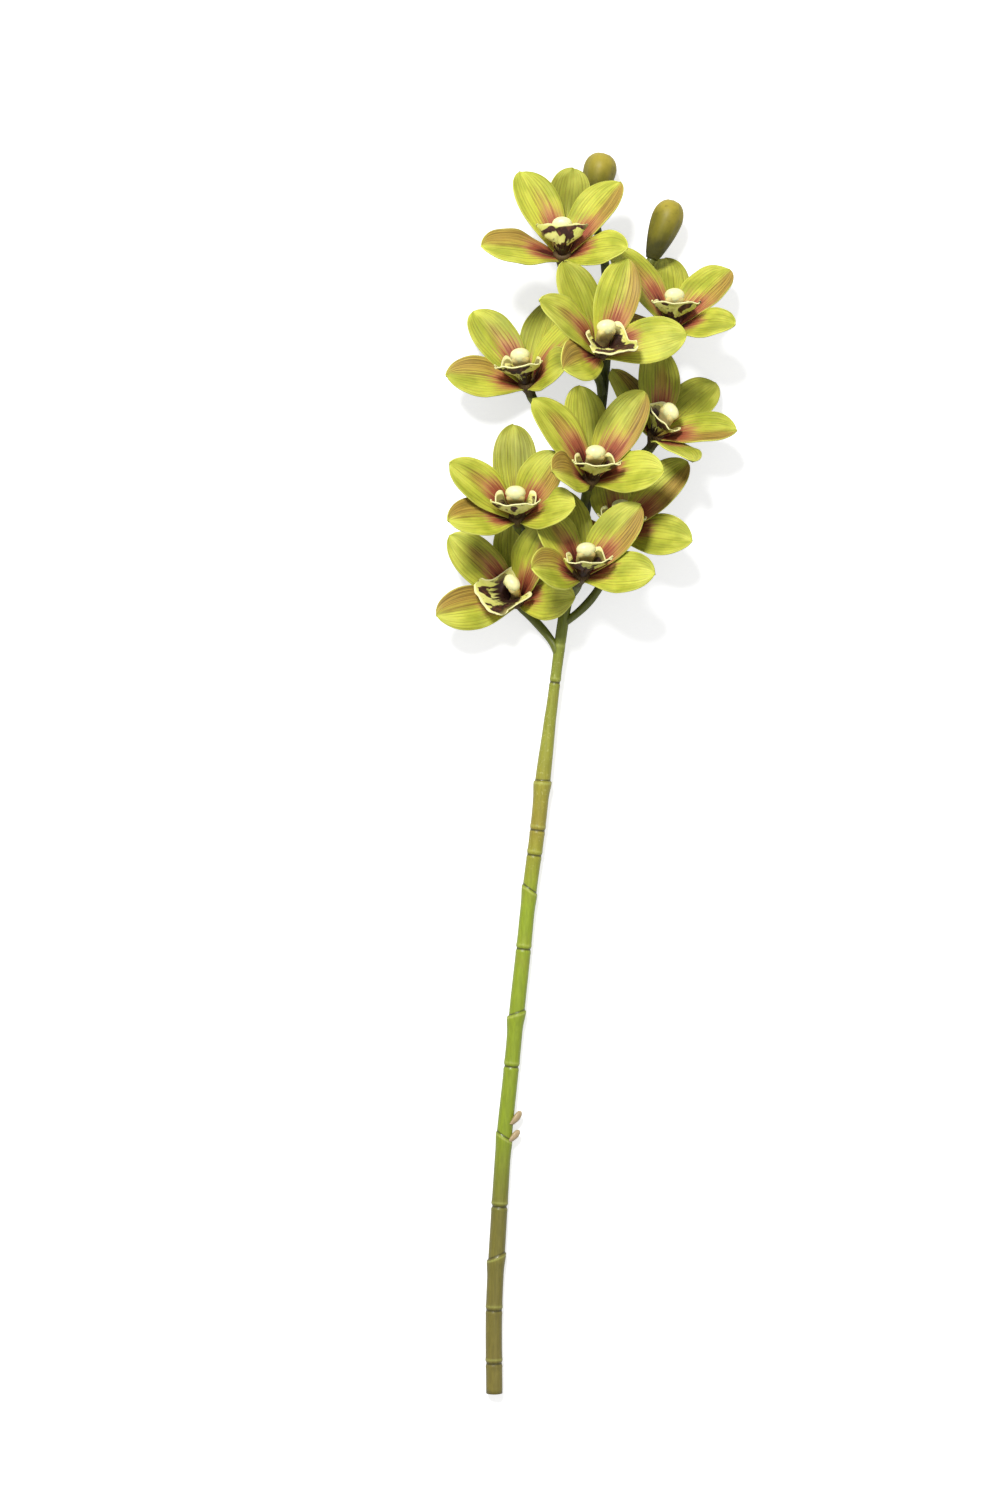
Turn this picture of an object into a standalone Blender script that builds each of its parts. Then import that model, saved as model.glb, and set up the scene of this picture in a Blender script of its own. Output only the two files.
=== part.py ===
# A cut cymbidium orchid stem lying on its side: a jointed flower stalk with ten open blooms and two buds.
# The stalk runs along Y from its cut end, the blooms face up and along Y, and Z is up from the table.
import math

import bmesh
import bpy
from mathutils import Vector

MM = 0.001
# The point that becomes the part's origin, in mm from the drawing's zero.
ORIGIN = (0.0, 359.2, 0.0)

STALK_SIDES = 14
# Centre line of the stalk as x, y, z in mm.
STALK_LINE = (
    (-52.8, 0.8, 4.6),
    (-52.9, 50.0, 4.7),
    (-49.8, 109.0, 4.9),
    (-47.1, 149.0, 5.2),
    (-42.9, 190.0, 5.4),
    (-39.9, 220.0, 5.8),
    (-35.9, 258.0, 6.0),
    (-32.4, 292.0, 6.4),
    (-27.8, 327.0, 7.2),
    (-24.9, 354.0, 8.0),
    (-20.7, 390.0, 9.2),
    (-17.8, 412.0, 10.2),
    (-14.9, 434.6, 11.2),
    (-12.1, 453.6, 11.5),
    (-8.6, 469.0, 11.0),
    (-1.7, 505.0, 9.2),
    (5.2, 545.6, 8.8),
    (10.5, 586.0, 9.0),
    (12.7, 626.0, 9.5),
    (11.0, 654.0, 10.0),
    (6.5, 674.0, 10.2),
    (2.6, 685.6, 10.5),
)
# Radius of the stalk between its joints, as y and radius in mm.
STALK_RADIUS = (
    (0.0, 4.75),
    (60.0, 4.75),
    (100.0, 4.7),
    (150.0, 4.5),
    (190.0, 4.4),
    (230.0, 4.45),
    (290.0, 4.2),
    (330.0, 4.4),
    (358.0, 4.4),
    (390.0, 3.5),
    (412.0, 3.1),
    (436.0, 3.3),
    (454.0, 3.3),
    (480.0, 3.6),
    (560.0, 3.1),
    (640.0, 2.7),
    (688.0, 2.3),
)
# Joints as y, kind, radius at the joint and slant in mm from the left side to the right side.
STALK_JOINTS = (
    (18.3, "groove", 4.45, 0.0),
    (49.0, "groove", 4.5, 0.0),
    (79.7, "collar", 5.5, 4.8),
    (109.0, "groove", 4.1, 0.0),
    (149.0, "collar", 5.0, -5.0),
    (190.0, "groove", 3.95, 0.0),
    (220.3, "collar", 5.4, 4.2),
    (258.0, "groove", 3.95, 0.0),
    (292.0, "collar", 4.8, -4.6),
    (312.3, "groove", 4.05, 0.0),
    (326.7, "groove", 4.15, 0.0),
    (354.5, "collar", 5.3, 0.6),
    (412.0, "groove", 2.8, 0.0),
    (434.6, "groove", 3.05, 0.0),
)
PLAIN_STATIONS = (
    95.0, 129.0, 170.0, 205.0, 240.0, 275.0, 375.0, 394.0, 424.0, 446.0, 460.0,
    480.0, 505.0, 530.0, 555.0, 580.0, 605.0, 630.0, 648.0, 662.0, 674.0, 685.6,
)
PEDICEL_RADIUS = 2.3
PEDICEL_SIDES = 8

# The neck behind each bloom, along the bloom's axis from its centre, in mm.
HUB_BACK, HUB_FRONT = -9.0, 1.5
HUB_BACK_RADIUS, HUB_FRONT_RADIUS = 3.2, 5.6
GAP = 0.3

TEPAL_THICK = 1.0
TEPAL_STEPS = (0.0, 0.15, 0.35, 0.55, 0.75, 0.9, 1.0)
TEPAL_WIDTHS = (25.0, 25.0, 25.0, 26.0, 26.0)
TEPAL_BOWS = (16.0, 16.0, 16.0, 10.0, 10.0)
TEPAL_ROOTS = (-2.2, 0.2, 0.2, -1.6, -1.6)
# Each bloom: centre in mm, (yaw, pitch, roll) in degrees, where its pedicel leaves the stalk as y and
# sideways lean in mm, then the twist of its side sepals, the turn of its lip and column, both in degrees,
# and how far its lip's front edge falls in mm. Below them upper sepal, right petal, left petal, right sepal
# and left sepal, each as angle round the bloom, rise out of its plane and length.
BLOOMS = (
    (
        (-14.0, 655.0, 39.0), (-2, 44, 0), (630, 0), (14, 0, 0),
        ((6, 23, 58), (42, 28, 52), (-30, 30, 54), (116, 28, 43), (-109, 24, 49)),
    ),
    (
        (-34.0, 584.0, 18.1), (-18, 40, 5), (528, -4), (22, 0, 0),
        ((16, 20, 54), (52, 22, 52), (-39, 34, 52), (114, 42, 44), (-104, 30, 46)),
    ),
    (
        (7.0, 597.0, 61.0), (14, 30, 10), (576, 0), (24, 0, 7),
        ((-11, 23, 54), (30, 34, 53), (-66, 40, 52), (103, 30, 48), (-124, 32, 46)),
    ),
    (
        (48.0, 615.0, 33.8), (8, 46, 0), (600, 4), (8, 0, 0),
        ((2, 12, 53), (50, 22, 49), (-42, 32, 54), (122, 28, 39), (-112, 8, 38)),
    ),
    (
        (2.0, 527.5, 44.0), (10, 34, 0), (504, 0), (16, 0, 0),
        ((-4, 26, 54), (39, 38, 56), (-45, 34, 54), (106, 34, 43), (-118, 44, 40)),
    ),
    (
        (40.0, 553.5, 23.0), (20, 38, -50), (526, 6), (-12, -18, 0),
        ((4, 22, 50), (60, 30, 45), (-43, 28, 52), (122, 32, 42), (-80, 20, 44)),
    ),
    (
        (-40.0, 506.0, 44.0), (-3, 28, 0), (466, 0), (4, 0, 0),
        ((-2, 24, 52), (40, 34, 41), (-66, 38, 48), (102, 38, 40), (-112, 30, 43)),
    ),
    (
        (18.0, 499.0, 18.5), (7, 33, -4), (446, 26), (16, 0, 0),
        ((-2, 30, 50), (49, 30, 55), (-22, 38, 33), (112, 26, 45), (-114, 8, 36)),
    ),
    (
        (-3.5, 473.0, 42.0), (12, 33, 5), (452, 0), (16, 0, 0),
        ((-5, 22, 50), (57, 40, 50), (-36, 30, 40), (116, 32, 43), (-106, 38, 44)),
    ),
    (
        (-40.0, 459.5, 14.0), (-18, 22, 10), (426, 0), (24, -60, 7),
        ((6, 16, 50), (52, 48, 52), (-42, 38, 52), (110, 28, 43), (-108, 32, 48)),
    ),
)
# Each bud: foot in mm, tip in mm, greatest width, and where its pedicel leaves the stalk.
# The first bud closes the stalk's end and has no pedicel of its own.
BUDS = (
    ((3.0, 687.0, 10.5), (10.5, 717.0, 12.5), 19.0, None),
    ((37.7, 655.2, 18.0), (50.5, 688.5, 20.5), 18.0, 634),
)


def make_material(name, color, roughness):
    material = bpy.data.materials.new(name)
    material.use_nodes = True
    shader = material.node_tree.nodes["Principled BSDF"]
    shader.inputs["Base Color"].default_value = (*color, 1.0)
    shader.inputs["Roughness"].default_value = roughness
    shader.inputs["Metallic"].default_value = 0.0
    material.diffuse_color = (*color, 1.0)
    return material


def object_from(bm, name, material):
    bmesh.ops.recalc_face_normals(bm, faces=bm.faces)
    for face in bm.faces:
        face.smooth = True
    mesh = bpy.data.meshes.new(name)
    bm.to_mesh(mesh)
    bm.free()
    mesh.materials.append(material)
    part = bpy.data.objects.new(name, mesh)
    bpy.context.collection.objects.link(part)
    return part


def placed(point):
    return Vector((point[0] - ORIGIN[0], point[1] - ORIGIN[1], point[2] - ORIGIN[2])) * MM


def between(table, at):
    for (y0, r0), (y1, r1) in zip(table, table[1:]):
        if at <= y1:
            share = max(0.0, (at - y0) / (y1 - y0))
            return r0 + (r1 - r0) * share
    return table[-1][1]


def line_at(at):
    table = STALK_LINE
    for low, high in zip(table, table[1:]):
        if at <= high[1]:
            share = max(0.0, (at - low[1]) / (high[1] - low[1]))
            return Vector(low).lerp(Vector(high), share)
    return Vector(table[-1])


# Rings of points joined into one tube with flat ends.
def tube(name, rings, material):
    bm = bmesh.new()
    rows = [[bm.verts.new(placed(p)) for p in ring] for ring in rings]
    sides = len(rows[0])
    for low, high in zip(rows, rows[1:]):
        for i in range(sides):
            k = (i + 1) % sides
            bm.faces.new((low[i], low[k], high[k], high[i]))
    bm.faces.new(rows[0][::-1])
    bm.faces.new(rows[-1])
    return object_from(bm, name, material)


def ring_round(center, tangent, radius, sides, slant=0.0, flatten=1.0):
    tangent = Vector(tangent).normalized()
    side = tangent.cross(Vector((0, 0, 1)))
    if side.length < 0.01:
        side = Vector((1, 0, 0))
    side.normalize()
    lift = side.cross(tangent)
    points = []
    for i in range(sides):
        a = 2 * math.pi * (i + 0.5) / sides
        across = side * (math.cos(a) * radius) + lift * (math.sin(a) * radius * flatten)
        points.append(Vector(center) + across + tangent * (math.cos(a) * slant / 2))
    return points


# Stations along the stalk as y, radius and slant: plain ones, and the close ones that shape each joint.
def stalk_stations():
    stations = [(0.8, 4.75, 0.0), (8.0, 4.75, 0.0)]
    for y, kind, radius, slant in STALK_JOINTS:
        below = between(STALK_RADIUS, y - 4)
        above = between(STALK_RADIUS, y + 4)
        if kind == "groove":
            stations += [(y - 5.0, below, 0.0), (y - 1.2, below + 0.12, 0.0)]
            stations += [(y, radius, 0.0), (y + 2.2, above, 0.0)]
        else:
            stations += [(y - 13.0, below, 0.0), (y - 5.0, below * 0.45 + radius * 0.55, slant * 0.6)]
            stations += [(y - 0.6, radius, slant), (y + 0.5, above, slant), (y + 8.0, above, 0.0)]
    for y in PLAIN_STATIONS:
        stations.append((y, between(STALK_RADIUS, y), 0.0))
    return sorted(stations)


def main_stalk(material):
    rings = []
    for y, radius, slant in stalk_stations():
        tangent = line_at(min(y + 6, 685.6)) - line_at(max(y - 6, 0.8))
        center = line_at(y)
        ring = ring_round(center, tangent, radius, STALK_SIDES, slant)
        for point in ring:
            point.z = max(point.z, 0.0)
        rings.append(ring)
    return tube("stalk", rings, material)


def bloom_axes(yaw, pitch, roll):
    yaw, pitch, roll = (math.radians(a) for a in (yaw, pitch, roll))
    out = Vector((math.sin(yaw) * math.cos(pitch), math.sin(pitch), math.cos(yaw) * math.cos(pitch)))
    up = Vector((-math.sin(yaw) * math.sin(pitch), math.cos(pitch), -math.cos(yaw) * math.sin(pitch)))
    right = up.cross(out)
    rolled_up = up * math.cos(roll) - right * math.sin(roll)
    rolled_right = right * math.cos(roll) + up * math.sin(roll)
    return rolled_right, rolled_up, out


# A curved stem from a point inside the stalk to the foot of a bloom or bud.
def pedicel(name, start, lean, end, end_tangent, end_radius, material):
    start, end, end_tangent = Vector(start), Vector(end), Vector(end_tangent).normalized()
    reach = (end - start).length * 0.38
    first = start + Vector((0.0, 0.72, 0.2)) * reach + Vector((lean, 0.0, 0.0))
    second = end - end_tangent * min(reach, 13.0)
    second.z = max(second.z, 5.0)
    rings = []
    for i in range(8):
        t = i / 7
        a, b, c, d = (1 - t) ** 3, 3 * t * (1 - t) ** 2, 3 * t * t * (1 - t), t**3
        center = start * a + first * b + second * c + end * d
        tangent = (first - start) * (1 - t) ** 2 + (second - first) * 2 * t * (1 - t) + (end - second) * t * t
        if i == 7:
            tangent = end_tangent
        radius = PEDICEL_RADIUS + (end_radius - PEDICEL_RADIUS) * t * t
        rings.append(ring_round(center, tangent, radius, PEDICEL_SIDES))
    return tube(name, rings, material)


# Each step of a bract: share of its length, distance from the stalk's centre, half height, half thickness.
BRACT_STEPS = ((0.0, 2.6, 2.8, 1.4), (0.4, 5.2, 2.6, 1.0), (0.8, 7.0, 1.8, 0.7), (1.0, 7.6, 0.8, 0.5))


# A small papery bract standing off the stalk's right side.
def bract(name, y, length, material):
    foot = line_at(y)
    along = (line_at(y + 10) - foot).normalized()
    side = along.cross(Vector((0, 0, 1))).normalized()
    rings = []
    for share, off, wide, thick in BRACT_STEPS:
        center = foot + along * length * share + side * off + Vector((0, 0, 1.2))
        ring = []
        for k in range(6):
            a = math.pi * k / 3
            ring.append(center + Vector((0, 0, wide)) * math.sin(a) + side * thick * math.cos(a))
        rings.append(ring)
    return tube(name, rings, material)


# Joins every object of a collection to the first object by one union, then removes them.
def fused(first, others):
    if not others:
        return first
    group = bpy.data.collections.new(first.name + " pieces")
    for other in others:
        group.objects.link(other)
    joint = first.modifiers.new("union", "BOOLEAN")
    joint.operation = "UNION"
    joint.operand_type = "COLLECTION"
    joint.collection = group
    joint.solver = "EXACT"
    graph = bpy.context.evaluated_depsgraph_get()
    mesh = bpy.data.meshes.new_from_object(first.evaluated_get(graph))
    first.modifiers.clear()
    old = first.data
    first.data = mesh
    bpy.data.meshes.remove(old)
    for other in others:
        bpy.data.objects.remove(other)
    bpy.data.collections.remove(group)
    return first


# A thin blade: the sheet's faces are split into triangles first, so that both faces bend alike.
def blade(name, rows, thickness, axes, center, material):
    right, up, out = axes
    bm = bmesh.new()
    grid = []
    for row in rows:
        verts = []
        for x, y, z in row:
            verts.append(bm.verts.new(placed(Vector(center) + right * x + up * y + out * z)))
        grid.append(verts)
    for low, high in zip(grid, grid[1:]):
        for i in range(len(low) - 1):
            if len(high) == 1:
                bm.faces.new((low[i], low[i + 1], high[0]))
                continue
            a, b, c, d = low[i], low[i + 1], high[i + 1], high[i]
            if i < (len(low) - 1) / 2:
                bm.faces.new((a, b, c))
                bm.faces.new((a, c, d))
            else:
                bm.faces.new((a, b, d))
                bm.faces.new((b, c, d))
    bm.normal_update()
    facing = Vector((0, 0, 0))
    for face in bm.faces:
        facing += face.normal * face.calc_area()
    moves = {v: v.normal.copy() for v in bm.verts}
    grown = bmesh.ops.extrude_face_region(bm, geom=list(bm.faces))
    new_verts = [item for item in grown["geom"] if isinstance(item, bmesh.types.BMVert)]
    flat = {v.co.copy().freeze(): n for v, n in moves.items()}
    sign = -1.0 if facing.dot(out) > 0 else 1.0
    for vert in new_verts:
        vert.co += flat[vert.co.copy().freeze()] * (sign * thickness * MM)
    return object_from(bm, name, material)


def tepal_half_width(u):
    if u < 0.55:
        return 0.30 + 0.70 * math.sin(math.pi / 2 * u / 0.55) ** 1.1
    s = (u - 0.55) / 0.45
    return max(0.0, 1 - s**2.3) ** 0.72


# One sepal or petal in the bloom's own axes: it leaves the hub, arches outward and is slightly cupped.
def tepal_rows(angle, rise, length, width, bow, root, twist, cup):
    turn = math.radians(angle)
    reach, height = 3.0, root
    fine = 60
    line = []
    for i in range(fine + 1):
        tilt = math.radians(rise + bow * (1 - 2 * i / fine))
        if i:
            reach += length / fine * math.cos(tilt)
            height += length / fine * math.sin(tilt)
        line.append((reach, height, tilt))
    rows = []
    for u in TEPAL_STEPS:
        reach, height, tilt = line[round(u * fine)]
        half = width / 2 * tepal_half_width(u)
        swing = math.radians(twist) * min(1.0, 2 * u)
        row = []
        for t in (-1.0, -0.5, 0.0, 0.5, 1.0) if u < 1 else (0.0,):
            lift = cup * half * abs(t) ** 1.4
            side = t * half * math.cos(swing) - lift * math.sin(swing)
            off = t * half * math.sin(swing) + lift * math.cos(swing)
            along, rise_z = reach - off * math.sin(tilt), height + off * math.cos(tilt)
            x = along * math.sin(turn) + side * math.cos(turn)
            y = along * math.cos(turn) - side * math.sin(turn)
            row.append((x, y, rise_z))
        rows.append(row)
    return rows


def bloom_tepals(name, center, axes, sepal_twist, tepals, material):
    out = axes[2]
    rings = []
    for z, radius in ((HUB_BACK, HUB_BACK_RADIUS), (-4.0, 4.2), (HUB_FRONT, HUB_FRONT_RADIUS)):
        rings.append(ring_round(Vector(center) + out * z, out, radius, 10))
    hub = tube(name, rings, material)
    blades = []
    for i, (angle, rise, length) in enumerate(tepals):
        twist = (0, 0, 0, -sepal_twist, sepal_twist)[i]
        width, bow, root = TEPAL_WIDTHS[i], TEPAL_BOWS[i], TEPAL_ROOTS[i]
        rows = tepal_rows(angle, rise, length, width, bow, root, twist, 0.12)
        blades.append(blade(f"{name} {i}", rows, TEPAL_THICK, axes, center, material))
    return fused(hub, blades)


# The lip: a scoop below and round the column, with two upright side lobes and a front lobe that turns down.
# Each step is distance along the bloom's axis, radius, drop below the axis and half wrap in degrees.
LIP_STEPS = (
    (2.6, 2.4, 3.4, 60),
    (6.5, 4.8, 4.2, 88),
    (11.0, 8.2, 5.8, 100),
    (15.5, 11.4, 7.6, 98),
    (20.0, 13.4, 9.2, 74),
    (22.5, 12.0, 12.0, 54),
)


def lip_rows(fall):
    rows = []
    for z, radius, drop, wrap in LIP_STEPS:
        row = []
        for k in range(7):
            t = -1 + k / 3
            a = math.radians(wrap) * t
            x = radius * math.sin(a)
            y = -drop + radius * (1 - math.cos(a)) * 0.75 - fall * max(0.0, (z - 11) / 11.5) ** 1.5
            back = 2.6 * t * t if z > 16 else 0.0
            row.append((x, y, z - back))
        rows.append(row)
    return rows


# The column: a short arched body that swells into a rounded cap.
# Each step is its distance along the bloom's axis, its lift, its half width and its half depth.
COLUMN_STEPS = (
    (1.8, 0.6, 3.0, 2.8),
    (5.0, 1.4, 3.2, 2.6),
    (9.5, 2.2, 3.8, 2.8),
    (14.0, 2.4, 4.9, 3.4),
    (18.0, 1.8, 6.2, 4.6),
    (20.6, 0.6, 5.2, 4.2),
    (22.2, -0.6, 2.8, 2.4),
)


def bloom_column(name, center, axes, material):
    right, up, out = axes
    rings = []
    for z, lift, half_wide, half_deep in COLUMN_STEPS:
        middle = Vector(center) + out * z + up * lift
        ring = []
        for i in range(8):
            a = 2 * math.pi * (i + 0.5) / 8
            ring.append(middle + right * (half_wide * math.cos(a)) + up * (half_deep * math.sin(a)))
        rings.append(ring)
    return tube(name, rings, material)


# Radius of a bud along its length, as a share of its length and a share of its greatest radius.
BUD_PROFILE = (
    (0.0, 0.34), (0.08, 0.5), (0.22, 0.67), (0.38, 0.83), (0.54, 0.95),
    (0.7, 1.0), (0.84, 0.9), (0.94, 0.62), (1.0, 0.2),
)


# A closed bud: an egg with three soft lobes, narrow at its foot.
def bud(name, foot, tip, width, material):
    foot, tip = Vector(foot), Vector(tip)
    axis = tip - foot
    rings = []
    for share, grow in BUD_PROFILE:
        middle = foot + axis * share
        ring = ring_round(middle, axis, width / 2 * grow, 12)
        for i, point in enumerate(ring):
            a = 2 * math.pi * (i + 0.5) / 12
            lobe = 0.05 * math.cos(3 * (a - 0.5 * math.pi)) * math.sin(math.pi * share)
            ring[i] = middle + (point - middle) * (1 + lobe)
        rings.append(ring)
    return tube(name, rings, material)


def build():
    for thing in list(bpy.data.objects):
        bpy.data.objects.remove(thing)
    green = make_material("stalk_green", (0.32, 0.42, 0.09), 0.42)
    leaf = make_material("tepal_green", (0.50, 0.54, 0.09), 0.5)
    cream = make_material("lip_cream", (0.76, 0.68, 0.25), 0.5)
    ivory = make_material("column_ivory", (0.86, 0.78, 0.42), 0.4)
    olive = make_material("bud_olive", (0.42, 0.40, 0.08), 0.45)

    stalk = main_stalk(green)
    stems = [bract("bract low", 147.0, 7.0, green), bract("bract high", 157.0, 8.0, green)]
    for number, (center, turns, (leaves_at, lean), habit, tepals) in enumerate(BLOOMS, 1):
        sepal_twist, lip_turn, lip_fall = habit
        axes = bloom_axes(*turns)
        lip_axes = bloom_axes(turns[0], turns[1], turns[2] + lip_turn)
        name = f"bloom_{number:02d}"
        foot = Vector(center) + axes[2] * (HUB_BACK - GAP)
        start = line_at(leaves_at)
        stems.append(pedicel(name + " pedicel", start, lean, foot, axes[2], 2.8, green))
        bloom_tepals(name + "_tepals", center, axes, sepal_twist, tepals, leaf)
        blade(name + "_lip", lip_rows(lip_fall), 1.0, lip_axes, center, cream)
        bloom_column(name + "_column", center, lip_axes, ivory)
    for number, (foot, tip, width, leaves_at) in enumerate(BUDS, 1):
        bud(f"bud_{number}", foot, tip, width, olive)
        if leaves_at:
            axis = (Vector(tip) - Vector(foot)).normalized()
            end = Vector(foot) - axis * GAP
            stems.append(pedicel(f"bud {number} pedicel", line_at(leaves_at), 4, end, axis, 2.6, green))
    fused(stalk, stems)


build()
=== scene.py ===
import random
from math import atan2, cos, exp, pi, radians, sin, sqrt, tau
import bmesh
import bpy
from mathutils import Matrix, Vector


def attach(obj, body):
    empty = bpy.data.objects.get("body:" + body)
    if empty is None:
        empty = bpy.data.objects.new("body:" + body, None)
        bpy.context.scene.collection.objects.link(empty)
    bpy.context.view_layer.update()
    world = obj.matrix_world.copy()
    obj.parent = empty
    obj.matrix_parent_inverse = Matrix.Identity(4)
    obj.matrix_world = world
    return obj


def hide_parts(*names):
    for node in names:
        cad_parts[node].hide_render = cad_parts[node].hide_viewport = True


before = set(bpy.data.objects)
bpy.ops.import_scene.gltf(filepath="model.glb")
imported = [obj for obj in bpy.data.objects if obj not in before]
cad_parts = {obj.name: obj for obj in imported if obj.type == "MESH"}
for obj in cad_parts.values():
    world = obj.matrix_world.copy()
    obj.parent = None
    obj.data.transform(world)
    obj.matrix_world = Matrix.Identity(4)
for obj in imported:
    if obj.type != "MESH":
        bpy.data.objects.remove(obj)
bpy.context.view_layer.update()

mm = 0.001
oneTurn = 6.28  # radians, near enough for the start of a wave
drawingZero = Vector((0.0, 359.2, 0.0))  # mm, the point of the drawing that is the part's origin
print("frame loaded:", len(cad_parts), "nodes")

# Places and turns of the blooms, as the solids have them, in mm and degrees.
# center, (yaw, pitch, roll), (pedicel leaves the stalk at y, lean), (sepal twist, lip turn, lip fall),
# then upper sepal, right petal, left petal, right sepal, left sepal as (angle, rise, length)
blooms = (
    ((-14.0, 655.0, 39.0), (-2, 44, 0), (630, 0), (14, 0, 0),
     ((6, 23, 58), (42, 28, 52), (-30, 30, 54), (116, 28, 43), (-109, 24, 49))),
    ((-34.0, 584.0, 18.1), (-18, 40, 5), (528, -4), (22, 0, 0),
     ((16, 20, 54), (52, 22, 52), (-39, 34, 52), (114, 42, 44), (-104, 30, 46))),
    ((7.0, 597.0, 61.0), (14, 30, 10), (576, 0), (24, 0, 7),
     ((-11, 23, 54), (30, 34, 53), (-66, 40, 52), (103, 30, 48), (-124, 32, 46))),
    ((48.0, 615.0, 33.8), (8, 46, 0), (600, 4), (8, 0, 0),
     ((2, 12, 53), (50, 22, 49), (-42, 32, 54), (122, 28, 39), (-112, 8, 38))),
    ((2.0, 527.5, 44.0), (10, 34, 0), (504, 0), (16, 0, 0),
     ((-4, 26, 54), (39, 38, 56), (-45, 34, 54), (106, 34, 43), (-118, 44, 40))),
    ((40.0, 553.5, 23.0), (20, 38, -50), (526, 6), (-12, -18, 0),
     ((4, 22, 50), (60, 30, 45), (-43, 28, 52), (122, 32, 42), (-80, 20, 44))),
    ((-40.0, 506.0, 44.0), (-3, 28, 0), (466, 0), (4, 0, 0),
     ((-2, 24, 52), (40, 34, 41), (-66, 38, 48), (102, 38, 40), (-112, 30, 43))),
    ((18.0, 499.0, 18.5), (7, 33, -4), (446, 26), (16, 0, 0),
     ((-2, 30, 50), (49, 30, 55), (-22, 38, 33), (112, 26, 45), (-114, 8, 36))),
    ((-3.5, 473.0, 42.0), (12, 33, 5), (452, 0), (16, 0, 0),
     ((-5, 22, 50), (57, 40, 50), (-36, 30, 40), (116, 32, 43), (-106, 38, 44))),
    ((-40.0, 459.5, 14.0), (-18, 22, 10), (426, 0), (24, -60, 7),
     ((6, 16, 50), (52, 48, 52), (-42, 38, 52), (110, 28, 43), (-108, 32, 48))),
)


def drawn(point):  # from the drawing's mm to metres in the part's frame
    return (Vector(point) - drawingZero) * mm


def curveThrough(rows, place):  # a smooth value between rows of numbers, with the place counted in rows
    place = min(max(place, 0.0), len(rows) - 1.0)
    i = min(int(place), len(rows) - 2)
    f = place - i
    a, b, c, d = (Vector(rows[min(max(k, 0), len(rows) - 1)]) for k in (i - 1, i, i + 1, i + 2))
    bend = (2 * a - 5 * b + 4 * c - d) * f + (3 * b - a - 3 * c + d) * f * f
    return b + ((c - a) + bend) * (f * 0.5)


def soft(value, low, high):  # 0 below low, 1 above high, eased between
    share = min(max((value - low) / (high - low), 0.0), 1.0)
    return share * share * (3 - 2 * share)


def hump(value, middle, width):
    return exp(-(((value - middle) / width) ** 2))


def bloomAxes(yaw, pitch, roll):
    yaw, pitch, roll = (radians(a) for a in (yaw, pitch, roll))
    out = Vector((sin(yaw) * cos(pitch), sin(pitch), cos(yaw) * cos(pitch)))
    up = Vector((-sin(yaw) * sin(pitch), cos(pitch), -cos(yaw) * sin(pitch)))
    right = up.cross(out)
    return (right * cos(roll) + up * sin(roll), up * cos(roll) - right * sin(roll), out)


def bloomPlace(center, yaw, pitch, roll):  # from a bloom's own mm to metres in the part's frame
    right, up, out = bloomAxes(yaw, pitch, roll)
    turn = Matrix((right, up, out)).transposed().to_4x4()
    return Matrix.Translation(drawn(center)) @ turn @ Matrix.Scale(mm, 4)


# What every material is wired with.
def feed(tree, socket, value):
    if isinstance(value, bpy.types.NodeSocket):
        tree.links.new(value, socket)
    elif isinstance(value, tuple) and len(value) == 3 and socket.type == "RGBA":
        socket.default_value = (*value, 1.0)
    else:
        socket.default_value = value


def feedAll(tree, node, values):
    for name, value in values.items():
        feed(tree, node.inputs[name], value)


def maths(tree, operation, *values):
    node = tree.nodes.new("ShaderNodeMath")
    node.operation = operation
    for socket, value in zip(node.inputs, values):
        feed(tree, socket, value)
    return node.outputs[0]


def times(tree, first, second):
    return maths(tree, "MULTIPLY", first, second)


def plus(tree, first, second):
    return maths(tree, "ADD", first, second)


def minus(tree, first, second):
    return maths(tree, "SUBTRACT", first, second)


def mixed(tree, share, first, second, blend="MIX"):
    node = tree.nodes.new("ShaderNodeMix")
    node.data_type = "RGBA"
    node.blend_type = blend
    feed(tree, node.inputs[0], share)
    feed(tree, node.inputs[6], first)
    feed(tree, node.inputs[7], second)
    return node.outputs[2]


def ranged(tree, value, low, high, toLow=0.0, toHigh=1.0):
    node = tree.nodes.new("ShaderNodeMapRange")
    node.interpolation_type = "SMOOTHSTEP"
    feedAll(tree, node, {"Value": value, "From Min": low, "From Max": high})
    feedAll(tree, node, {"To Min": toLow, "To Max": toHigh})
    return node.outputs["Result"]


def noisy(tree, vector, scale, detail=2.0, roughness=0.5, distortion=0.0):
    node = tree.nodes.new("ShaderNodeTexNoise")
    feedAll(tree, node, {"Vector": vector, "Scale": scale, "Detail": detail})
    feedAll(tree, node, {"Roughness": roughness, "Distortion": distortion})
    return node.outputs["Fac"]


def objectSpot(tree):
    return tree.nodes.new("ShaderNodeTexCoord").outputs["Object"]


def attribute(tree, name):
    node = tree.nodes.new("ShaderNodeAttribute")
    node.attribute_type = "GEOMETRY"
    node.attribute_name = name
    return node.outputs["Vector"]


def parts(tree, vector):
    node = tree.nodes.new("ShaderNodeSeparateXYZ")
    feed(tree, node.inputs[0], vector)
    return node.outputs[0], node.outputs[1], node.outputs[2]


def joined(tree, x, y, z):
    node = tree.nodes.new("ShaderNodeCombineXYZ")
    for socket, value in zip(node.inputs, (x, y, z)):
        feed(tree, socket, value)
    return node.outputs[0]


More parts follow.
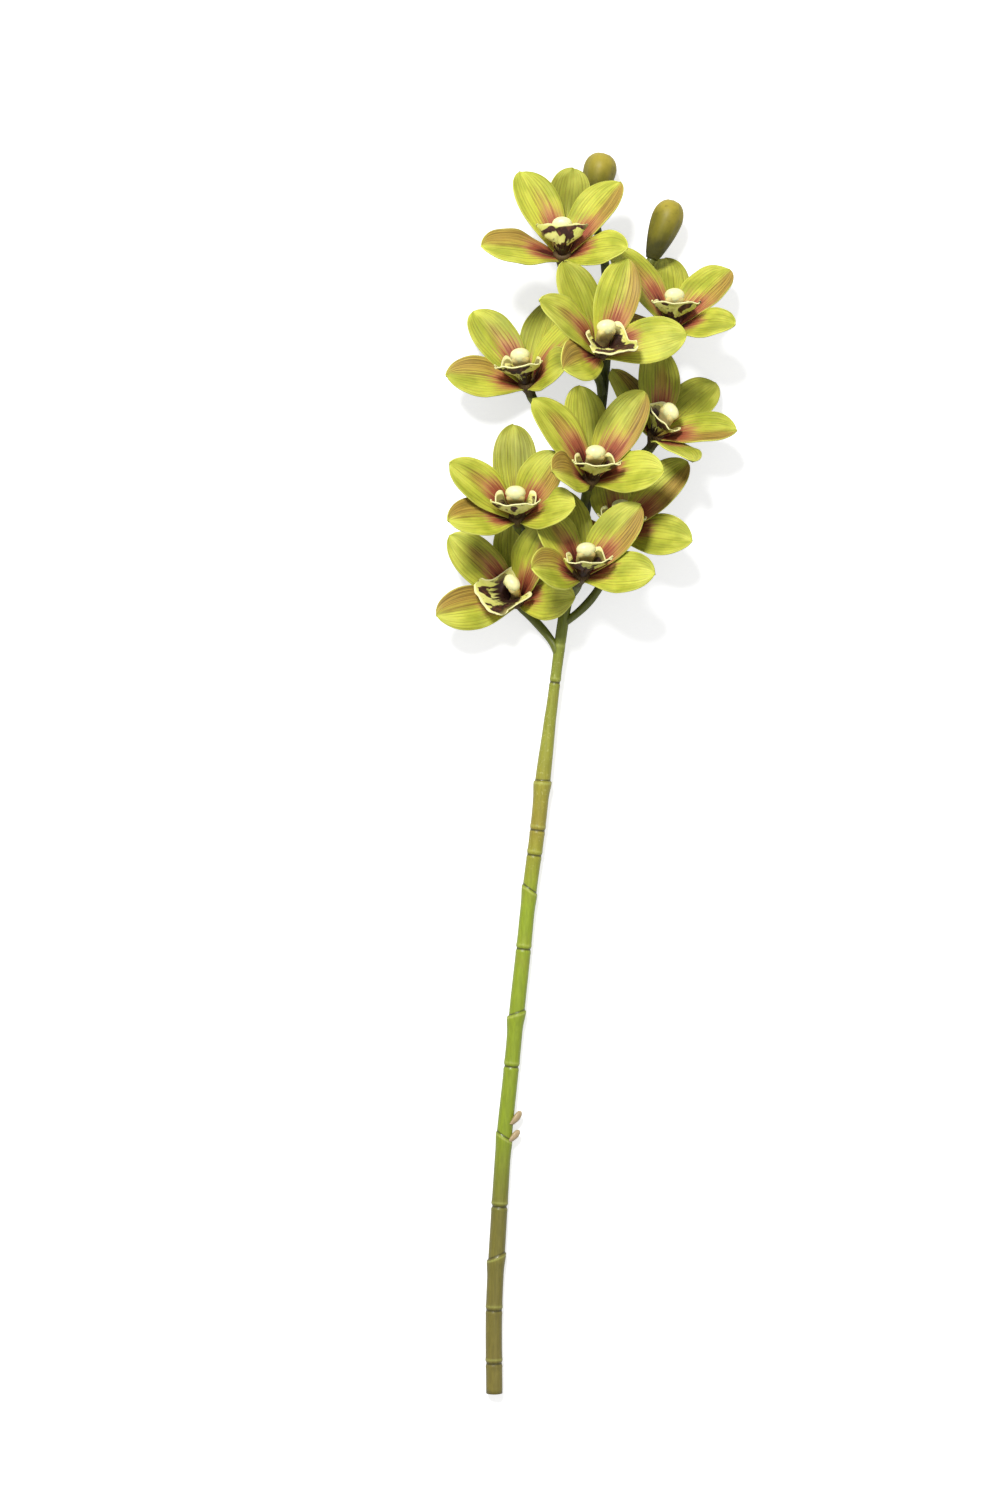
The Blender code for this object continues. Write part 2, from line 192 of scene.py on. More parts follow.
def newGroup(name, takes, gives):  # takes numbers, and a vector where the value is None; gives numbers
    group = bpy.data.node_groups.new(name, "ShaderNodeTree")
    for label, value in takes.items():
        kind = "NodeSocketVector" if value is None else "NodeSocketFloat"
        socket = group.interface.new_socket(name=label, in_out="INPUT", socket_type=kind)
        if value is not None:
            socket.default_value = value
    for label in gives:
        group.interface.new_socket(name=label, in_out="OUTPUT", socket_type="NodeSocketFloat")
    return group, group.nodes.new("NodeGroupInput").outputs, group.nodes.new("NodeGroupOutput").inputs


def placed(tree, group, **values):
    node = tree.nodes.new("ShaderNodeGroup")
    node.node_tree = group
    feedAll(tree, node, values)
    return node.outputs


def newMaterial(name, roughness, **sockets):
    material = bpy.data.materials.new(name)
    material.use_nodes = True
    tree = material.node_tree
    shader = tree.nodes["Principled BSDF"]
    shader.inputs["Roughness"].default_value = roughness
    for label, value in sockets.items():
        shader.inputs[label.replace("_", " ")].default_value = value
    return material, tree, shader


def toned(tree, colour, tone):
    return mixed(tree, 1.0, colour, joined(tree, tone, tone, tone), "MULTIPLY")


def finishSkin(tree, shader, colour, height, strength, distance):
    feed(tree, shader.inputs["Base Color"], colour)
    node = tree.nodes.new("ShaderNodeBump")
    feed(tree, node.inputs["Height"], height)
    node.inputs["Strength"].default_value = strength
    node.inputs["Distance"].default_value = distance
    tree.links.new(node.outputs["Normal"], shader.inputs["Normal"])


# Long lines that run from the foot to the tip: Place holds (across -1..1, along 0..1, seed).
def makeVeinGroup():
    takes = {"Place": None, "Count": 11.0, "Wander": 0.3, "Width": 0.3}
    group, given, out = newGroup("longVeins", takes, ("Lines", "Streaks", "Height"))
    across, along, seed = parts(group, given["Place"])

    def stretched(acrossScale, alongScale, detail, roughness):
        spot = joined(group, times(group, across, acrossScale),
                      times(group, along, alongScale), seed)
        return noisy(group, spot, 1.0, detail, roughness)

    shift = times(group, minus(group, stretched(1.6, 1.3, 2.0, 0.5), 0.5), given["Wander"])
    lane = times(group, plus(group, across, shift), times(group, given["Count"], 0.5))
    off = maths(group, "FRACT", plus(group, lane, 100.5))
    off = maths(group, "ABSOLUTE", minus(group, off, 0.5))
    line = ranged(group, off, 0.0, given["Width"], 1.0, 0.0)
    lines = times(group, line, ranged(group, stretched(9.0, 2.4, 3.0, 0.6), 0.36, 0.64, 0.2, 1.0))
    streak = stretched(22.0, 1.1, 4.0, 0.6)
    ridges = plus(group, times(group, lines, 0.8), times(group, streak, 0.3))
    group.links.new(lines, out["Lines"])
    group.links.new(ranged(group, streak, 0.34, 0.66), out["Streaks"])
    group.links.new(minus(group, 1.0, ridges), out["Height"])
    return group


# Ragged dark patches, with a few small flecks between them.
def makeBlotchGroup():
    takes = {"Place": None, "Scale": 130.0, "Cover": 0.5}
    group, given, out = newGroup("raggedBlotches", takes, ("Patches", "Flecks"))
    large = noisy(group, given["Place"], given["Scale"], 2.0, 0.45, 0.35)
    low = minus(group, 1.0, given["Cover"])
    group.links.new(ranged(group, large, low, plus(group, low, 0.035)), out["Patches"])
    small = noisy(group, given["Place"], times(group, given["Scale"], 3.2), 1.0, 0.4, 0.3)
    group.links.new(ranged(group, small, 0.68, 0.73), out["Flecks"])
    return group


# Fine living-skin grain: a value near one to lighten or darken with, and a height for bumps.
def makeSkinGroup():
    group, given, out = newGroup("skinGrain", {"Scale": 900.0, "Depth": 0.12}, ("Tone", "Height"))
    spot = objectSpot(group)
    grain = noisy(group, spot, given["Scale"], 3.0, 0.6)
    cloud = noisy(group, spot, 45.0, 2.0, 0.5)
    both = plus(group, times(group, grain, 0.6), times(group, cloud, 0.8))
    middle = 0.7  # what both come to on the whole
    tone = plus(group, 1.0, times(group, minus(group, both, middle), given["Depth"]))
    group.links.new(tone, out["Tone"])
    group.links.new(grain, out["Height"])
    return group


veinGroup, blotchGroup, skinGroup = makeVeinGroup(), makeBlotchGroup(), makeSkinGroup()

petalColours = {
    "green": (0.590, 0.605, 0.060),
    "greenDeep": (0.370, 0.405, 0.030),
    "olive": (0.230, 0.235, 0.014),
    "warm": (0.480, 0.305, 0.055),
    "warmDeep": (0.270, 0.160, 0.028),
    "peach": (0.520, 0.235, 0.085),
    "blush": (0.355, 0.094, 0.044),
    "wine": (0.085, 0.012, 0.009),
    # pale rim colour, also the painted highlight along the margins and towards the tips
    "rim": (0.690, 0.705, 0.120),
    "veinShade": (0.480, 0.400, 0.320),
    "backGreen": (0.200, 0.230, 0.025),
    "backBrown": (0.150, 0.100, 0.025),
}


def makePetalFace():
    use = petalColours
    material, tree, shader = newMaterial(
        "petal_face", 0.55, Specular_IOR_Level=0.3, Subsurface_Weight=0.04, Subsurface_Scale=0.002)
    place, tint = attribute(tree, "place"), attribute(tree, "tint")
    across, along, seed = parts(tree, place)
    warm, blush, olive = parts(tree, tint)
    veins = placed(tree, veinGroup, Place=place, Count=13.0, Wander=0.22, Width=0.30)
    fineVeins = placed(tree, veinGroup, Place=place, Count=31.0, Wander=0.16, Width=0.40)
    skin = placed(tree, skinGroup, Scale=900.0, Depth=0.25)
    streaks = veins["Streaks"]
    swing = minus(tree, streaks, 0.5)
    cloud = noisy(tree, joined(tree, across, times(tree, along, 2.0), seed), 1.4, 2.0)
    colour = mixed(tree, ranged(tree, cloud, 0.35, 0.7), use["green"], use["greenDeep"])
    oliveShare = times(tree, olive, ranged(tree, streaks, 0.0, 1.0, 0.6, 1.0))
    colour = mixed(tree, oliveShare, colour, use["olive"])
    # lighter towards the tips, in clouds: paler tips with painted highlight on them
    light = times(tree, ranged(tree, along, 0.45, 1.0), ranged(tree, cloud, 0.3, 0.6, 0.6, 0.1))
    colour = mixed(tree, light, colour, use["rim"])
    warmth = plus(tree, warm, times(tree, swing, 0.26))
    warmColour = mixed(tree, ranged(tree, streaks, 0.25, 0.9), use["warm"], use["warmDeep"])
    colour = mixed(tree, ranged(tree, warmth, 0.22, 0.78, 0.0, 0.92), colour, warmColour)
    ragged = plus(tree, blush, times(tree, swing, 0.30))
    colour = mixed(tree, ranged(tree, ragged, 0.14, 0.42, 0.0, 0.85), colour, use["peach"])
    colour = mixed(tree, ranged(tree, ragged, 0.34, 0.66), colour, use["blush"])
    colour = mixed(tree, ranged(tree, ragged, 0.74, 1.08), colour, use["wine"])
    middle = times(tree, ranged(tree, maths(tree, "ABSOLUTE", across), 0.0, 0.05, 0.35, 0.0),
                  ranged(tree, along, 0.35, 0.7, 1.0, 0.0))
    colour = mixed(tree, middle, colour, use["rim"])
    # pale margins, less where the blush is: painted highlight along the edges
    edge = ranged(tree, maths(tree, "ABSOLUTE", across), 0.93, 1.0, 0.0, 0.45)
    edge = times(tree, edge, ranged(tree, blush, 0.2, 0.7, 1.0, 0.0))
    colour = mixed(tree, edge, colour, use["rim"])
    lines = maths(tree, "MAXIMUM", veins["Lines"], times(tree, fineVeins["Lines"], 0.45))
    lines = times(tree, lines, ranged(tree, along, 0.86, 0.98, 1.0, 0.15))
    colour = mixed(tree, times(tree, lines, 0.64), colour, use["veinShade"], "MULTIPLY")
    colour = toned(tree, colour, plus(tree, skin["Tone"], times(tree, swing, -0.12)))
    height = plus(tree, veins["Height"], times(tree, skin["Height"], 0.22))
    finishSkin(tree, shader, colour, height, 0.28, 0.0005)
    return material


def makePetalBack():
    use = petalColours
    material, tree, shader = newMaterial("petal_back", 0.6, Specular_IOR_Level=0.3)
    place, tint = attribute(tree, "place"), attribute(tree, "tint")
    across = parts(tree, place)[0]
    warm = parts(tree, tint)[0]
    veins = placed(tree, veinGroup, Place=place, Count=11.0, Wander=0.30, Width=0.36)
    skin = placed(tree, skinGroup, Scale=900.0, Depth=0.3)
    brown = times(tree, veins["Streaks"], plus(tree, 0.45, times(tree, warm, 0.5)))
    colour = mixed(tree, brown, use["backGreen"], use["backBrown"])
    keel = ranged(tree, maths(tree, "ABSOLUTE", across), 0.0, 0.09, 0.4, 0.0)
    colour = mixed(tree, keel, colour, use["greenDeep"])
    colour = mixed(tree, times(tree, veins["Lines"], 0.6), colour, use["veinShade"], "MULTIPLY")
    colour = toned(tree, colour, skin["Tone"])
    finishSkin(tree, shader, colour, minus(tree, 1.0, veins["Height"]), 0.5, 0.0005)
    return material


def makeRim(name, colour, roughness, specular, depth):
    material, tree, shader = newMaterial(name, roughness, Specular_IOR_Level=specular)
    skin = placed(tree, skinGroup, Scale=700.0, Depth=depth)
    feed(tree, shader.inputs["Base Color"], toned(tree, colour, skin["Tone"]))
    return material


# Where five values stand in a row, they are for the upper sepal, the right and the left petal, the right and
# the left sepal.
petal = {
    "across": 22, "along": 46,      # cells of one sepal or petal
    "thickness": 0.8,               # mm
    "widths": (25.0, 25.0, 25.0, 26.0, 26.0),   # mm
    "bows": (16.0, 16.0, 16.0, 10.0, 10.0),     # degrees, steeper at the foot and flatter at the tip
    "roots": (-2.2, 0.2, 0.2, -1.6, -1.6),      # mm, height of the foot in the bloom
    "reach": 3.0,                   # mm from the bloom's axis to the foot
    "cup": 0.12,                    # how far the margins rise, as a share of the half width
    "groove": 0.7,                  # mm, the channel along the middle
    "ribs": 0.16,                   # mm, low ribs beside the channel
    "wave": 0.45,                   # mm, how far the margin ripples
    "ripples": (1.6, 2.6),          # waves along a margin, least and most
    "hooks": (2, 12),               # degrees that a tip bends back, least and most
    "bend": 1.4,                    # mm that a tip may swing to either side
    # a warm and a blush band, each (middle, width, where it ends, amount), then the olive share
    "tints": (
        ((0.10, 0.60, 0.70, 0.50), (0.00, 0.50, 0.44, 0.75), 0.80),
        ((0.80, 0.75, 1.25, 1.05), (0.30, 0.74, 0.72, 1.25), 0.15),
        ((0.15, 0.45, 1.00, 0.85), (0.20, 0.64, 0.74, 1.25), 0.22),
        ((-0.35, 0.55, 0.70, 0.78), (-0.30, 0.70, 0.62, 1.32), 0.08),
        ((0.60, 0.75, 1.25, 1.00), (0.10, 0.70, 0.62, 1.32), 0.08),
    ),
    # how dark the upper sepal is, bloom by bloom
    "upperShade": (2.0, 1.1, 1.0, 0.9, 0.3, 0.8, 1.9, 1.0, 0.7, 0.7),
}


def petalHalfWidth(u):  # as a share of the widest, from a foot 0.30 wide to a blunt tip
    widest = 0.55
    if u < widest:
        return 0.30 + 0.70 * sin(pi / 2 * u / widest) ** 1.1
    s = (u - widest) / 0.45
    return max(0.0, 1 - s**2.3) ** 0.64


def petalLine(rise, length, bow, root, hook):  # centre line as (reach, height, tilt), step by step
    reach, height, steps, line = petal["reach"], root, 60, []
    for i in range(steps + 1):
        share = i / steps
        tilt = radians(rise + bow * (1 - 2 * share) - hook * soft(share, 0.8, 1.0))
        if i:
            reach += length / steps * cos(tilt)
            height += length / steps * sin(tilt)
        line.append((reach, height, tilt))
    return line


def growPetal(bm, kind, habit, twist, shade, seed):
    angle, rise, length = habit
    dice = random.Random(seed)
    half = petal["widths"][kind] / 2
    hook = dice.uniform(*petal["hooks"])
    line = petalLine(rise, length, petal["bows"][kind], petal["roots"][kind], hook)
    turn, bend = radians(angle), dice.uniform(-petal["bend"], petal["bend"])
    phase, ripples = dice.uniform(0, oneTurn), dice.uniform(*petal["ripples"])
    warm, blush, olive = petal["tints"][kind]
    warmAmount, oliveAmount = warm[3] * dice.uniform(0.75, 1.1), olive * shade * dice.uniform(0.6, 1.3)
    blushAmount = blush[3] * dice.uniform(0.85, 1.1)
    placeLayer = layer(bm, "place")
    tintLayer = layer(bm, "tint")
    grid = bmesh.ops.create_grid(bm, x_segments=petal["across"], y_segments=petal["along"], size=1.0)
    for vert in grid["verts"]:
        t, u = vert.co.x, (vert.co.y + 1) / 2
        reach, height, tilt = curveThrough(line, u * (len(line) - 1))
        wide = half * petalHalfWidth(u)
        swing = radians(twist) * min(1.0, 2 * u)
        lift = petal["cup"] * wide * abs(t) ** 1.4
        lift -= petal["groove"] * hump(t, 0, 0.10) * soft(u, 0.0, 0.1) * (1 - 0.8 * u)
        lift += petal["wave"] * abs(t) ** 3 * sin(phase + ripples * oneTurn * u + (2.1 if t > 0 else 0))
        lift += petal["ribs"] * cos(t * 15.0) * (1 - abs(t)) * soft(u, 0.05, 0.3)
        across = t * wide
        side = across * cos(swing) - lift * sin(swing) + bend * u * u
        off = across * sin(swing) + lift * cos(swing)
        along = reach - off * sin(tilt)
        vert.co = (
            along * sin(turn) + side * cos(turn),
            along * cos(turn) - side * sin(turn),
            height + off * cos(tilt),
        )
        vert[placeLayer] = (t, u, seed * 0.37)
        warmth = warmAmount * hump(t, warm[0], warm[1]) * (1 - soft(u, warm[2] - 0.45, warm[2]))
        blushing = blushAmount * hump(t, blush[0], blush[1]) * (1 - soft(u, 0.04, blush[2]))
        vert[tintLayer] = (warmth, blushing, oliveAmount * soft(u, 0.1, 0.8))
    bmesh.ops.remove_doubles(bm, verts=grid["verts"], dist=0.01)


def faceTowards(bm, faces, direction):
    bm.normal_update()
    facing = Vector((0, 0, 0))
    for face in faces:
        facing += face.normal * face.calc_area()
    if facing.dot(direction) < 0:
        bmesh.ops.reverse_faces(bm, faces=faces)


def finishPiece(bm, name, materials, node):
    mesh = bpy.data.meshes.new(name)
    for face in bm.faces:
        face.smooth = True
    bm.to_mesh(mesh)
    bm.free()
    for material in materials:
        mesh.materials.append(material)
    piece = bpy.data.objects.new(name, mesh)
    bpy.context.scene.collection.objects.link(piece)
    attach(piece, "root")
    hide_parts(node)
    return piece


def thicken(piece, thickness):  # the back and the rim take the next two material slots
    wall = piece.modifiers.new("wall", "SOLIDIFY")
    wall.thickness = thickness * mm
    wall.offset = -1.0
    wall.material_offset = 1
    wall.material_offset_rim = 2


def newMesh():
    bm = bmesh.new()
    for name in ("place", "tint"):
        bm.verts.layers.float_vector.new(name)
    return bm


def layer(bm, name):
    return bm.verts.layers.float_vector[name]


def makePetals(number, place, twist, tepals, materials):
    bm = newMesh()
    twists = (0, 0, 0, -twist, twist)
    for kind, habit in enumerate(tepals):
        before = set(bm.faces)
        shade = petal["upperShade"][number - 1] if kind == 0 else 1.0
        growPetal(bm, kind, habit, twists[kind], shade, number * 10 + kind)
        faceTowards(bm, [f for f in bm.faces if f not in before], Vector((0, 0, 1)))
    bmesh.ops.transform(bm, matrix=place, verts=bm.verts)
    for vert in bm.verts:
        vert.co.z = max(vert.co.z, petal["thickness"] * mm)  # the back stays on the floor
    bloom = f"bloom_{number:02d}_"
    piece = finishPiece(bm, bloom + "petals", materials, bloom + "tepals")
    thicken(piece, petal["thickness"])


# The neck behind the petals, turned from its profile and then fluted.
neck = {
    "profile": ((-9.9, 0.0), (-9.9, 2.3), (-9.6, 2.7), (-8.0, 3.0), (-6.0, 3.4), (-4.0, 4.1), (-2.0, 4.8),
                (0.0, 5.3), (1.2, 5.2), (1.9, 4.2), (2.2, 2.0), (2.3, 0.0)),   # height and radius in mm
    "length": 12.0,         # mm, what the colours of its skin run over
    "sides": 36,
    "flutes": 6,
    "fluteDepth": 0.05,     # as a share of the radius
    "foot": (0.085, 0.080, 0.018),
    "top": (0.100, 0.055, 0.020),
    "streak": (0.160, 0.115, 0.045),
}


def revolve(bm, profile, sides):  # the profile's (height, radius) pairs turned round Z
    verts = [bm.verts.new((radius, 0, height)) for height, radius in profile]
    edges = [bm.edges.new(pair) for pair in zip(verts, verts[1:])]
    bmesh.ops.spin(
        bm, geom=verts + edges, cent=(0, 0, 0), axis=(0, 0, 1), dvec=(0, 0, 0),
        angle=tau, steps=sides, use_merge=True, use_duplicate=False,
    )
    bmesh.ops.remove_doubles(bm, verts=bm.verts, dist=0.005)
    bmesh.ops.recalc_face_normals(bm, faces=bm.faces)


def makeNeck(number, place, materials):
    bm = newMesh()
    placeLayer = layer(bm, "place")
    revolve(bm, neck["profile"], neck["sides"])
    for vert in bm.verts:
        around = atan2(vert.co.y, vert.co.x)
        fading = 1 - soft(vert.co.z, -3.0, 0.5)
        flute = 1 + neck["fluteDepth"] * cos(neck["flutes"] * around) * fading
        vert.co.x *= flute
        vert.co.y *= flute
        above = vert.co.z - neck["profile"][0][0]
        vert[placeLayer] = (around / pi, above / neck["length"], number * 1.7)
    bmesh.ops.transform(bm, matrix=place, verts=bm.verts)
    bloom = f"bloom_{number:02d}_"
    finishPiece(bm, bloom + "neck", materials, bloom + "tepals")


def makeNeckSkin():
    material, tree, shader = newMaterial("neck_skin", 0.6, Specular_IOR_Level=0.3)
    place = attribute(tree, "place")
    along = parts(tree, place)[1]
    veins = placed(tree, veinGroup, Place=place, Count=16.0, Wander=0.3, Width=0.3)
    skin = placed(tree, skinGroup, Scale=600.0, Depth=0.4)
    colour = mixed(tree, ranged(tree, along, 0.1, 0.8), neck["foot"], neck["top"])
    colour = mixed(tree, times(tree, veins["Streaks"], 0.5), colour, neck["streak"])
    colour = toned(tree, colour, skin["Tone"])
    finishSkin(tree, shader, colour, veins["Height"], 0.6, 0.0006)
    return material


# The lip, a scoop with two side lobes beside the column and a wide front lobe whose corners flare.
lip = {
    # distance along the axis, half wide, floor, rise of the sides above the floor, in mm
    "rows": ((2.6, 2.2, -3.6, 1.8), (6.0, 4.4, -4.4, 5.0), (9.0, 5.8, -5.2, 9.6),
             (11.0, 7.3, -5.8, 14.2), (12.3, 10.0, -6.4, 13.0), (14.8, 10.6, -7.3, 5.2),
             (17.5, 11.8, -8.3, 4.2), (20.2, 14.2, -9.2, 5.2), (22.6, 13.4, -10.2, 4.4)),
    # how far the front rises above the solids' line, bloom by bloom, in mm
    "lifts": (8.0, 0.5, 0.0, 2.0, 1.5, 0.0, 3.5, 1.0, 2.0, 0.0),
    # how large the left and the right side lobe are, bloom by bloom
    "lobes": ((0.85, 0.80), (1.15, 0.90), (0.85, 1.15), (0.90, 0.85), (0.90, 0.95),
              (1.10, 0.85), (1.00, 1.00), (0.90, 1.10), (0.85, 1.05), (1.15, 1.00)),
    "across": 60, "along": 48,
    "thickness": 0.7,       # mm
    "wrap": 92,             # degrees, how far each side turns up
    "frontFrom": 11,        # mm along the axis, where the floor starts to rise or fall to its front
    "frontOver": 11.5,      # mm that it takes
    "pullBack": 3.4,        # mm that the front lobe's corners lie behind its middle
    "lobeAt": 3.7,          # the row at which a side lobe is largest
    "lobeShift": 0.2,       # rows that a side lobe may sit from there
    "earFlare": 0.9,        # mm that a side lobe leans out
    "earReach": 1.2,        # mm that it leans to the front
    "frill": 0.5,           # mm, along the front edge
    "ruffle": 0.20,         # mm, finer waves along every edge
    "flutter": 0.25,        # mm, sideways along the side edges
    "keel": 0.9,            # mm, height of the two ridges on the floor
}


def makeLip(number, place, fall, materials):
    dice = random.Random(700 + number)
    bm = newMesh()
    placeLayer = layer(bm, "place")
    phase = dice.uniform(0, oneTurn)
    sideShift = [dice.uniform(-lip["lobeShift"], lip["lobeShift"]) for side in range(2)]
    grid = bmesh.ops.create_grid(bm, x_segments=lip["across"], y_segments=lip["along"], size=1.0)
    last = len(lip["rows"]) - 1
    for vert in grid["verts"]:
        t, u = vert.co.x, (vert.co.y + 1) / 2
        side = 1 if t > 0 else 0
        outward = 1.0 if t > 0 else -1.0
        margin = abs(t) ** 3
        station = u * last
        shifted = station + sideShift[side] * margin * sin(pi * u)
        z, wide, floor, rise = curveThrough(lip["rows"], shifted)
        toFront = max(0.0, (z - lip["frontFrom"]) / lip["frontOver"]) ** 1.5
        floor -= (fall - lip["lifts"][number - 1]) * toFront
        turned = radians(lip["wrap"]) * abs(t)
        ear = hump(station, lip["lobeAt"], 1.1) * margin
        scale = 1 + (lip["lobes"][number - 1][side] - 1) * ear
        x = outward * wide * (0.4 + 0.6 * scale) * sin(turned)
        y = floor + rise * scale * (1 - cos(turned))
        x += outward * lip["earFlare"] * ear
        z += lip["earReach"] * ear
        front = soft(u, 0.82, 1.0)
        z -= lip["pullBack"] * t * t * front
        frill = lip["frill"] * front * sin(phase + 8.0 * t)
        y += frill * 0.8
        z += frill * 0.6
        rim = max(margin, front)
        y += lip["ruffle"] * rim * sin(phase + 17 * t + 15 * u)
        x += outward * lip["flutter"] * margin * sin(phase + 26 * u)
        ridge = hump(abs(t), 0.13, 0.05) * soft(u, 0.15, 0.3) * (1 - soft(u, 0.62, 0.78))
        y += lip["keel"] * ridge
        vert.co = (x, y, z)
        vert[placeLayer] = (t, u, number * 2.3)
    bmesh.ops.remove_doubles(bm, verts=bm.verts, dist=0.01)
    faceTowards(bm, list(bm.faces), Vector((0, 1, 0)))
    bmesh.ops.transform(bm, matrix=place, verts=bm.verts)
    bloom = f"bloom_{number:02d}_"
    piece = finishPiece(bm, bloom + "labellum", materials, bloom + "lip")
    thicken(piece, lip["thickness"])


lipColours = {
    "cream": (0.780, 0.740, 0.240),
    "creamGreen": (0.560, 0.560, 0.120),
    "creamPale": (0.900, 0.860, 0.420),
    "blotch": (0.042, 0.014, 0.009),
    "blotchBrown": (0.120, 0.042, 0.020),
    "throatMaroonAndShade": (0.030, 0.010, 0.006),
}


# Cover is the share of dark patches, throatEnd where the dark throat ends, rimShare how pale the rim is. The
# throat's dark is maroon deepened by painted shade.
def makeLipSkin(name, cover, throatEnd, rimShare):
    use = lipColours
    material, tree, shader = newMaterial(
        name, 0.55, Specular_IOR_Level=0.3, Subsurface_Weight=0.03, Subsurface_Scale=0.002)
    place = attribute(tree, "place")
    across, along = parts(tree, place)[:2]
    spot = objectSpot(tree)
    beside = maths(tree, "ABSOLUTE", across)
    sideRim = times(tree, ranged(tree, beside, 0.86, 0.96), ranged(tree, along, 0.25, 0.35))
    margin = maths(tree, "MAXIMUM", ranged(tree, along, 0.93, 0.975), sideRim)
    margin = times(tree, margin, rimShare)
    blotches = placed(tree, blotchGroup, Place=spot, Scale=125.0,
                      Cover=minus(tree, cover, times(tree, margin, 0.3)))
    skin = placed(tree, skinGroup, Scale=800.0, Depth=0.25)
    veins = placed(tree, veinGroup, Place=place, Count=17.0, Wander=0.3, Width=0.3)
    greener = ranged(tree, noisy(tree, spot, 90.0, 2.0), 0.35, 0.65)
    colour = mixed(tree, greener, use["cream"], use["creamGreen"])
    colour = mixed(tree, margin, colour, use["creamPale"])
    inner = minus(tree, 1.0, margin)
    browner = ranged(tree, noisy(tree, spot, 420.0, 2.0), 0.45, 0.7)
    brown = mixed(tree, browner, use["blotch"], use["blotchBrown"])
    colour = mixed(tree, times(tree, blotches["Flecks"], inner), colour, use["blotchBrown"])
    sparse = times(tree, inner, ranged(tree, beside, 0.55, 0.85, 1.0, 0.65))
    colour = mixed(tree, times(tree, blotches["Patches"], sparse), colour, brown)
    swing = times(tree, minus(tree, veins["Streaks"], 0.5), 0.22)
    lobes = ranged(tree, beside, 0.50, 0.86, 0.0, 0.46)  # the dark throat ends lower on the side lobes
    depth = plus(tree, plus(tree, along, swing), lobes)
    # towards the lip's foot it turns near black: maroon deepened by painted shade in the scoop under the
    # column
    deep = ranged(tree, depth, throatEnd - 0.1, throatEnd + 0.06, 1.0, 0.0)
    colour = mixed(tree, deep, colour, use["throatMaroonAndShade"])
    height = plus(tree, times(tree, veins["Height"], 0.6), times(tree, skin["Height"], 0.3))
    finishSkin(tree, shader, toned(tree, colour, skin["Tone"]), height, 0.5, 0.0005)
    return material


# The column and its rounded cap.
column = {
    # distance along the axis, lift, half wide, half deep, in mm
    "rows": ((1.8, 0.6, 3.2, 2.8), (5.0, 1.4, 3.8, 2.8), (9.5, 1.9, 4.5, 3.2), (14.0, 1.8, 5.0, 3.9),
             (17.4, 1.4, 5.2, 4.2), (19.8, 1.4, 3.8, 3.0)),
    "around": 36, "along": 30,
    "hollow": 0.5,          # how far the underside is scooped
    "capCenter": (0.0, 3.1, 18.4),
    "capHalf": (5.7, 4.3, 4.6),     # mm, half its width, height and length
    "capAround": 36, "capAlong": 24,
    "capLean": 9.0,         # degrees to either side
    "furrow": 0.18,         # depth between the cap's two halves, as a share of its half height
    "body": (0.84, 0.68, 0.27),
    # the body's foot, darkened by painted shade
    "bodyShade": (0.42, 0.27, 0.08),
    "cap": (0.98, 0.93, 0.46),
    "fleck": (0.50, 0.36, 0.12),
}


# A grid rolled into a tube, its seam merged and its ends closed.
def wrapTube(bm, around, along, ringPoint, seed):
    placeLayer = layer(bm, "place")
    grid = bmesh.ops.create_grid(bm, x_segments=around, y_segments=along, size=1.0)
    for vert in grid["verts"]:
        t, u = vert.co.x, (vert.co.y + 1) / 2
        vert.co = ringPoint(t * pi, u)
        vert[placeLayer] = (t, u, seed)
    bmesh.ops.remove_doubles(bm, verts=grid["verts"], dist=0.004)
    loose = [edge for edge in bm.edges if edge.is_boundary]
    bmesh.ops.holes_fill(bm, edges=loose, sides=0)


def makeColumn(number, place, materials):
    bm = newMesh()
    rows = column["rows"]

    def bodyPoint(angle, u):
        z, lift, wide, deep = curveThrough(rows, u * (len(rows) - 1))
        below = max(0.0, -sin(angle))
        scooped = 1 - column["hollow"] * below**2 * soft(u, 0.15, 0.5)
        return (wide * cos(angle), lift + deep * sin(angle) * scooped, z)

    wrapTube(bm, column["around"], column["along"], bodyPoint, number * 1.1)
    body = set(bm.faces)
    around, along = column["capAround"], column["capAlong"]
    cap = bmesh.ops.create_uvsphere(bm, u_segments=around, v_segments=along, radius=1.0)
    halfWide, halfDeep, halfLong = column["capHalf"]
    lean = radians(random.Random(300 + number).uniform(-1, 1) * column["capLean"])
    placeLayer = layer(bm, "place")
    for vert in cap["verts"]:
        x, y, z = vert.co
        vert[placeLayer] = (atan2(y, x) / pi, 2 + z, number * 1.1)
        if z < 0:  # the back of the cap narrows onto the body
            x *= 1 + 0.15 * z
        x *= 1 + 0.10 * y  # a helmet, widest in its upper half
        if y < 0:  # with a shallow furrow between its two halves
            y *= 0.92 - column["furrow"] * hump(x, 0, 0.22) * max(0.0, z)
        x, y = x * cos(lean) - y * sin(lean), x * sin(lean) + y * cos(lean)
        vert.co = Vector(column["capCenter"]) + Vector((x * halfWide, y * halfDeep, z * halfLong))
    for face in bm.faces:
        face.material_index = 0 if face in body else 1
    bmesh.ops.recalc_face_normals(bm, faces=bm.faces)
    bmesh.ops.transform(bm, matrix=place, verts=bm.verts)
    bloom = f"bloom_{number:02d}_"
    finishPiece(bm, bloom + "gynostemium", materials, bloom + "column")


